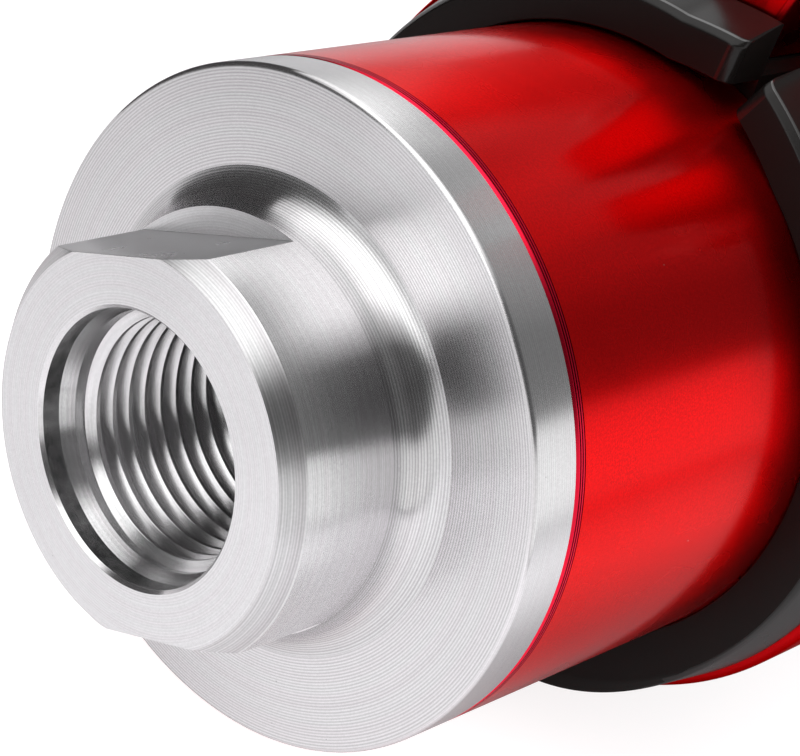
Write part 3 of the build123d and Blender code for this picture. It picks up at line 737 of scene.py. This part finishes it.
def buildClamp():
    c = clamp
    bm = bmesh.new()
    outline = [bm.verts.new((-c["halfWidth"] * mm, y * mm, axisHeight + z * mm)) for y, z in clampOutline()]
    front = bm.faces.new(outline)
    sides = bmesh.ops.extrude_face_region(bm, geom=[front])
    bmesh.ops.translate(bm, vec=(2 * c["halfWidth"] * mm, 0, 0), verts=vertsIn(sides["geom"]))
    bmesh.ops.recalc_face_normals(bm, faces=bm.faces)
    ends = [face for face in bm.faces if abs(face.normal.x) > 0.99]
    rims = list({edge for face in ends for edge in face.edges})
    bmesh.ops.bevel(bm, geom=rims, offset=c["edge"] * mm, offset_type="OFFSET", affect="EDGES",
                    segments=3, profile=0.5, material=-1, clamp_overlap=True)
    bm.normal_update()
    screws = [(x * c["screwX"] * mm, 0, axisHeight + c["screwZ"] * mm) for x in (-1, 1)]
    for side in (1, -1):
        outside = openFace(bm, screws, c["screwHoleR"] * mm, 1, side * c["earY"] * mm)
        inside = openFace(bm, screws, c["screwHoleR"] * mm, 1, side * c["gapHalf"] * mm)
        for first, second in zip(outside, inside):
            bmesh.ops.bridge_loops(bm, edges=first + second)
    feet = [(0, y * c["footHoleY"] * mm, 0) for y in (-1, 1)]
    for ring in openFace(bm, feet, c["footHoleR"] * mm, 2, axisHeight + c["footZ"] * mm):
        rim = extrudeRing(bm, ring, (0, 0, c["footHoleDepth"] * mm))
        cone = bmesh.ops.contextual_create(bm, geom=rim)["faces"]
        poked = bmesh.ops.poke(bm, faces=cone)
        bmesh.ops.translate(bm, vec=(0, 0, c["footHoleCone"] * mm), verts=poked["verts"])
    piece = finishPiece("clampBlock", bm, [redMilled], "filter_body", sharpAngle=24,
                        edgeWidth=0.18, edgeSegments=2)
    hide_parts("clamp")


buildClamp()


# Clamp screws, washers and nuts. They are made along +X about the filter axis and turned into place.

screw = {"radius": 2.5, "headR": 4.25, "headLong": 5.0, "headEdge": 0.5, "socketFlats": 4.0,
         "socketDepth": 2.6, "plainEnd": 11.2, "threadAt": 11.5, "length": 30.5, "tip": 0.6, "small": 0.12,
         "underHead": 0.2, "knurlDepth": 0.1, "knurlTurn": 7.5, "knurlGap": (2, 5), "knurlEnd": 0.65,
         "seatY": -12.6, "nutY": 11.6}
washer = {"outerR": 5.0, "innerR": 2.75, "thick": 1.0}
nut = {"flats": 8.0, "hexLong": 3.3, "height": 4.7, "collarR": 3.75, "holeR": 2.55,
       "collarEdge": ((0.5, 0.05), (0.12, 0.3), (0, 0.65)), "holeChamfer": 0.3}
screwThread = {"pitch": 0.8, "turns": 22.5, "startAt": 83.6, "rootR": 2.34, "tipR": 2.5, "rootHalf": 0.36,
               "tipHalf": 0.1, "stepsPerTurn": 32, "fadeTurns": 0.4}


def hexagon(bm, x, flats):
    upright = Matrix.Translation((x * mm, 0, axisHeight)) @ Matrix.Rotation(pi / 2, 4, "Y")
    made = bmesh.ops.create_circle(bm, segments=6, radius=flats / sqrt(3) * mm, matrix=upright)
    return list({edge for vert in made["verts"] for edge in vert.link_edges})


def intoPlace(bm, seatY, side):
    # turns a piece made along +X so that it lies along +Y in a screw hole
    turned = Matrix.Rotation(pi / 2, 4, "Z")
    place = Matrix.Translation((side * clamp["screwX"] * mm, seatY * mm, clamp["screwZ"] * mm))
    back = Matrix.Translation((0, 0, axisHeight))
    bmesh.ops.transform(bm, matrix=back @ place @ turned @ back.inverted(), verts=bm.verts)


def buildScrew(name, node, side):
    w = screw
    top, edgeEnd, rootR = -w["headLong"], w["headEdge"] - w["headLong"], w["radius"] - w["small"]
    bm = turnProfile([
        (top, w["headR"] - w["headEdge"] - 0.15), (top + w["small"], w["headR"] - w["headEdge"] * 0.5),
        (edgeEnd, w["headR"]), (edgeEnd + 0.1, w["headR"]), (-0.7, w["headR"]), (-0.6, w["headR"]),
        (0, w["headR"] - w["small"]), (0, w["radius"] + w["underHead"]), (w["underHead"], w["radius"]),
        (w["plainEnd"], w["radius"]), (w["threadAt"], rootR), (w["length"] - w["tip"], rootR),
        (w["length"], w["radius"] - w["tip"])], 96, closed=False)
    first, last = w["knurlGap"]
    for vert in bm.verts:
        around = degrees(atan2(vert.co.y, vert.co.z - axisHeight)) % w["knurlTurn"]
        onSide = edgeEnd + 0.05 < vert.co.x / mm < -w["knurlEnd"]
        if onSide and first < around < last:
            across = (vert.co - centreLine) * Vector((0, 1, 1))
            vert.co -= across.normalized() * w["knurlDepth"] * mm
    ends = openEnds(bm)
    tip = [edge for edge in ends if edge.verts[0].co.x > 0]
    head = [edge for edge in ends if edge.verts[0].co.x < 0]
    bmesh.ops.contextual_create(bm, geom=tip)
    socket = hexagon(bm, top, w["socketFlats"])
    bmesh.ops.triangle_fill(bm, use_beauty=True, edges=head + socket)
    bmesh.ops.contextual_create(bm, geom=extrudeRing(bm, socket, (w["socketDepth"] * mm, 0, 0)))
    windThread(bm, screwThread)
    intoPlace(bm, w["seatY"], side)
    piece = finishPiece(name, bm, [zincSteel], "filter_body", sharpAngle=28, edgeWidth=0.05)
    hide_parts(node)


def buildWasher(name, node, side):
    thick, inner, outer = washer["thick"], washer["innerR"], washer["outerR"]
    bm = turnProfile([(0, inner), (0, outer), (thick, outer), (thick, inner)], 72)
    intoPlace(bm, screw["seatY"], side)
    piece = finishPiece(name, bm, [zincSteel], "filter_body", edgeWidth=0.12, edgeSegments=3)
    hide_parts(node)


def buildNut(name, node, side):
    n = nut
    collar = [(n["height"] - down, n["collarR"] - inward) for down, inward in n["collarEdge"]]
    bm = turnProfile([
        (n["hexLong"], n["collarR"]), *collar, (n["height"], n["holeR"] + 0.1),
        (n["height"] - 0.2, n["holeR"]), (n["holeChamfer"], n["holeR"]),
        (0, n["holeR"] + n["holeChamfer"])], 64, closed=False)
    ends = openEnds(bm)
    lower = [edge for edge in ends if edge.verts[0].co.x < 0.1 * mm]
    upper = [edge for edge in ends if edge not in lower]
    foot = hexagon(bm, 0, n["flats"])
    bmesh.ops.triangle_fill(bm, use_beauty=True, edges=lower + foot)
    rim = extrudeRing(bm, foot, (n["hexLong"] * mm, 0, 0))
    bmesh.ops.triangle_fill(bm, use_beauty=True, edges=upper + rim)
    intoPlace(bm, screw["nutY"], side)
    piece = finishPiece(name, bm, [zincSteel], "filter_body", sharpAngle=24, edgeWidth=0.14,
                        edgeSegments=3)
    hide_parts(node)


for side, word in ((-1, "inlet"), (1, "outlet")):
    buildScrew(word + "ClampScrew", "clamp_screw_" + word + "_side", side)
    buildWasher(word + "ClampWasher", "clamp_washer_" + word + "_side", side)
    buildNut(word + "ClampNut", "clamp_nut_" + word + "_side", side)
print("clamp made")


# Inner pieces keep their shape and get their finish

for name, material in {
    "inlet_cap_seal": sealRubber, "outlet_cap_seal": sealRubber, "element_seal": sealRubber,
    "element_pleats": meshSteel, "element_core": zincSteel, "element_closed_plate": milledAluminium,
    "element_open_plate": milledAluminium, "element_spring": zincSteel, "spring_cup": zincSteel,
}.items():
    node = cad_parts[name]
    node.data.materials.clear()
    node.data.materials.append(material)


# Floor, light and camera

floorLook = {"pale": (0.78, 0.77, 0.785, 1), "shaded": (0.17, 0.165, 0.17, 1), "glow": 0.82,
             "shadeWidth": (0.09, 0.15), "widthOver": (-0.02, 0.02), "shadeEnd": (-0.07, 0.01)}
matt = {"Specular IOR Level": 0.0}
eulerNumber = 2.718


def stageGrid(name, halfWidth, halfHeight, place, turn, material):
    bm = bmesh.new()
    bmesh.ops.create_grid(bm, x_segments=1, y_segments=1, size=1)
    bmesh.ops.scale(bm, vec=(halfWidth, halfHeight, 1), verts=bm.verts)
    bmesh.ops.rotate(bm, cent=(0, 0, 0), matrix=Matrix.Rotation(turn, 3, "X"), verts=bm.verts)
    bmesh.ops.translate(bm, vec=place, verts=bm.verts)
    mesh = bpy.data.meshes.new(name)
    bm.to_mesh(mesh)
    bm.free()
    mesh.materials.append(material)
    card = bpy.data.objects.new(name, mesh)
    bpy.context.scene.collection.objects.link(card)
    return card


def floorShade(shader):
    # painted shadow on the floor: 1 under the tube and clamp, 0 away from them, with a soft edge that is
    # wider behind them
    coordinates = shader.add("ShaderNodeTexCoord")
    parts = shader.parts(coordinates.outputs["Object"])
    width = shader.spread(parts[1], *floorLook["shadeWidth"], *floorLook["widthOver"])
    offCentre = shader.math("ABSOLUTE", parts[1])
    sideways = shader.math("POWER", shader.math("DIVIDE", offCentre, width), 2)
    fade = shader.math("POWER", eulerNumber, shader.math("MULTIPLY", sideways, -1))
    along = shader.spread(parts[0], 0.0, 1.0, *floorLook["shadeEnd"], "SMOOTHSTEP")
    return shader.math("MULTIPLY", fade, along)


def buildFloor():
    shader = Shader("paleFloor")
    rays = shader.add("ShaderNodeLightPath")
    glow = shader.spread(rays.outputs["Is Camera Ray"], 0.0, floorLook["glow"])
    tone = shader.mix(floorShade(shader), floorLook["pale"], floorLook["shaded"])
    shader.setSurface({**matt, "Roughness": 0.95, "Base Color": tone, "Emission Color": (1, 1, 1, 1),
                       "Emission Strength": glow})
    stageGrid("floor", 4, 4, (0, 0, 0), 0, shader.material)


def buildDarkCard():
    # a black card beside the neck, seen only in the metal
    shader = Shader("darkCard")
    shader.setSurface({**matt, "Roughness": 0.9, "Base Color": (0.06, 0.06, 0.06, 1)})
    card = stageGrid("darkCard", 0.12, 0.048, (-0.12, 0.115, 0.05), pi / 2, shader.material)
    card.visible_camera = False
    card.visible_shadow = False


def buildLamp():
    # lights the floor and the rubber from above, and leaves the metal's reflections to the world
    data = bpy.data.lights.new("overhead", "AREA")
    data.shape = "DISK"
    data.size = 0.7
    data.energy = 6.1
    lamp = bpy.data.objects.new("overhead", data)
    lamp.location = (-0.25, -0.3, 0.75)
    lamp.rotation_euler = (-lamp.location).to_track_quat("-Z", "Y").to_euler()
    lamp.visible_glossy = False
    lamp.visible_camera = False
    bpy.context.scene.collection.objects.link(lamp)


# Studio light as strips that run along the filter, each a turn about its axis and a brightness.
# Turn 0 is overhead and -90 is the camera's side. The back strips lie on the inlet's side.
backStrips = ((-180, 0.9), (-100, 1.04), (-86, 1.02), (-68, 0.92), (-64, 0.8), (-59, 0.12), (-38, 0.08),
              (-17, 0.12), (-7, 0.75), (0, 1.3), (8, 1.95), (30, 2.0), (52, 1.95), (62, 1.1), (72, 0.5),
              (85, 0.45), (100, 0.5), (120, 0.55), (180, 0.8))
frontStrips = ((-180, 0.9), (-98, 1.16), (-74, 1.12), (-60, 1.0), (-55, 0.24), (-40, 0.2), (-29, 0.2),
               (-18, 0.26), (-7, 0.33), (5, 0.34), (16, 0.29), (27, 0.32), (38, 0.56), (47, 1.15),
               (56, 1.5), (66, 1.42), (75, 1.05), (85, 0.66), (95, 0.46), (105, 0.36), (130, 0.34),
               (180, 0.8))
farStrips = ((-180, 0.9), (-98, 1.2), (-74, 1.12), (-60, 1.0), (-55, 0.24), (-29, 0.22), (-7, 0.4),
             (5, 0.52), (14, 0.8), (24, 0.85), (34, 0.62), (42, 0.5), (50, 0.34), (60, 0.16), (100, 0.08),
             (180, 0.8))
# Where the strips blend into the next set, by the direction's X, and a narrow dark gap in them.
# Turns are in radians here.
studio = {"frontOver": (-0.35, 0.35), "farOver": (0.735, 0.775), "gapSlope": 0.0385, "gapMost": 0.068,
          "gapFrom": (0.75, 1.0), "gapTo": (2.6, 2.3), "gapStart": (0.681, 0.687), "gapEnd": (0.83, 0.81),
          "gapColour": (0.05, 0.05, 0.05, 1)}


def buildWorld():
    world = bpy.data.worlds.new("studio")
    bpy.context.scene.world = world
    world.use_nodes = True
    shader = NodeTree(world.node_tree)
    direction = shader.add("ShaderNodeTexCoord")
    parts = shader.parts(direction.outputs["Generated"])
    turn = shader.math("ARCTAN2", parts[1], parts[2])
    share = shader.spread(turn, 0.0, 1.0, -pi, pi)

    def stripRamp(strips):
        # brightness over 2 in the ramp, since a ramp's colours end at 1
        ramp = shader.add("ShaderNodeValToRGB")
        stops = ramp.color_ramp.elements
        while len(stops) < len(strips):
            stops.new(0.5)
        for stop, (angle, value) in zip(stops, strips):
            stop.position = (angle + 180) / 360
            stop.color = (value / 2, value / 2, value / 2, 1)
        shader.link(share, ramp.inputs["Fac"])
        return ramp.outputs["Color"]

    def step(value, span):
        return shader.spread(value, 0.0, 1.0, *span, "SMOOTHSTEP")

    def beyondCard():
        # the light over the filter ends at a slanted edge, and past it there is a narrow dark gap
        slant = shader.math("MINIMUM", shader.math("MULTIPLY", turn, studio["gapSlope"]), studio["gapMost"])
        slant = shader.math("SUBTRACT", parts[0], slant)
        over = shader.math("MULTIPLY", step(turn, studio["gapFrom"]), step(turn, studio["gapTo"]))
        gap = shader.math("MULTIPLY", step(slant, studio["gapStart"]), step(parts[0], studio["gapEnd"]))
        return shader.math("MULTIPLY", over, gap)

    light = shader.mix(step(parts[0], studio["frontOver"]), stripRamp(backStrips), stripRamp(frontStrips))
    light = shader.mix(step(parts[0], studio["farOver"]), light, stripRamp(farStrips))
    light = shader.mix(beyondCard(), light, studio["gapColour"])
    background = world.node_tree.nodes["Background"]
    shader.link(light, background.inputs["Color"])
    background.inputs["Strength"].default_value = 2.0
    plain = shader.add("ShaderNodeBackground")
    plain.inputs["Color"].default_value = (1, 1, 1, 1)
    rays = shader.add("ShaderNodeLightPath")
    chosen = shader.add("ShaderNodeMixShader")
    shader.link(rays.outputs["Is Camera Ray"], chosen.inputs[0])
    shader.link(background.outputs[0], chosen.inputs[1])
    shader.link(plain.outputs[0], chosen.inputs[2])
    shader.link(chosen.outputs[0], world.node_tree.nodes["World Output"].inputs["Surface"])


def buildCamera():
    data = bpy.data.cameras.new("camera")
    data.lens = 107.48
    data.sensor_width = 36
    data.clip_start = 0.01
    camera = bpy.data.objects.new("camera", data)
    camera.location = Vector((-193.693, -77.770, 171.281)) * mm
    camera.rotation_euler = Euler([radians(a) for a in (47.4219, -26.8285, -40.6656)])
    bpy.context.scene.collection.objects.link(camera)
    bpy.context.scene.camera = camera


buildFloor()
buildDarkCard()
buildLamp()
buildWorld()
buildCamera()
bpy.context.scene.view_settings.view_transform = "Standard"
print("scene made")
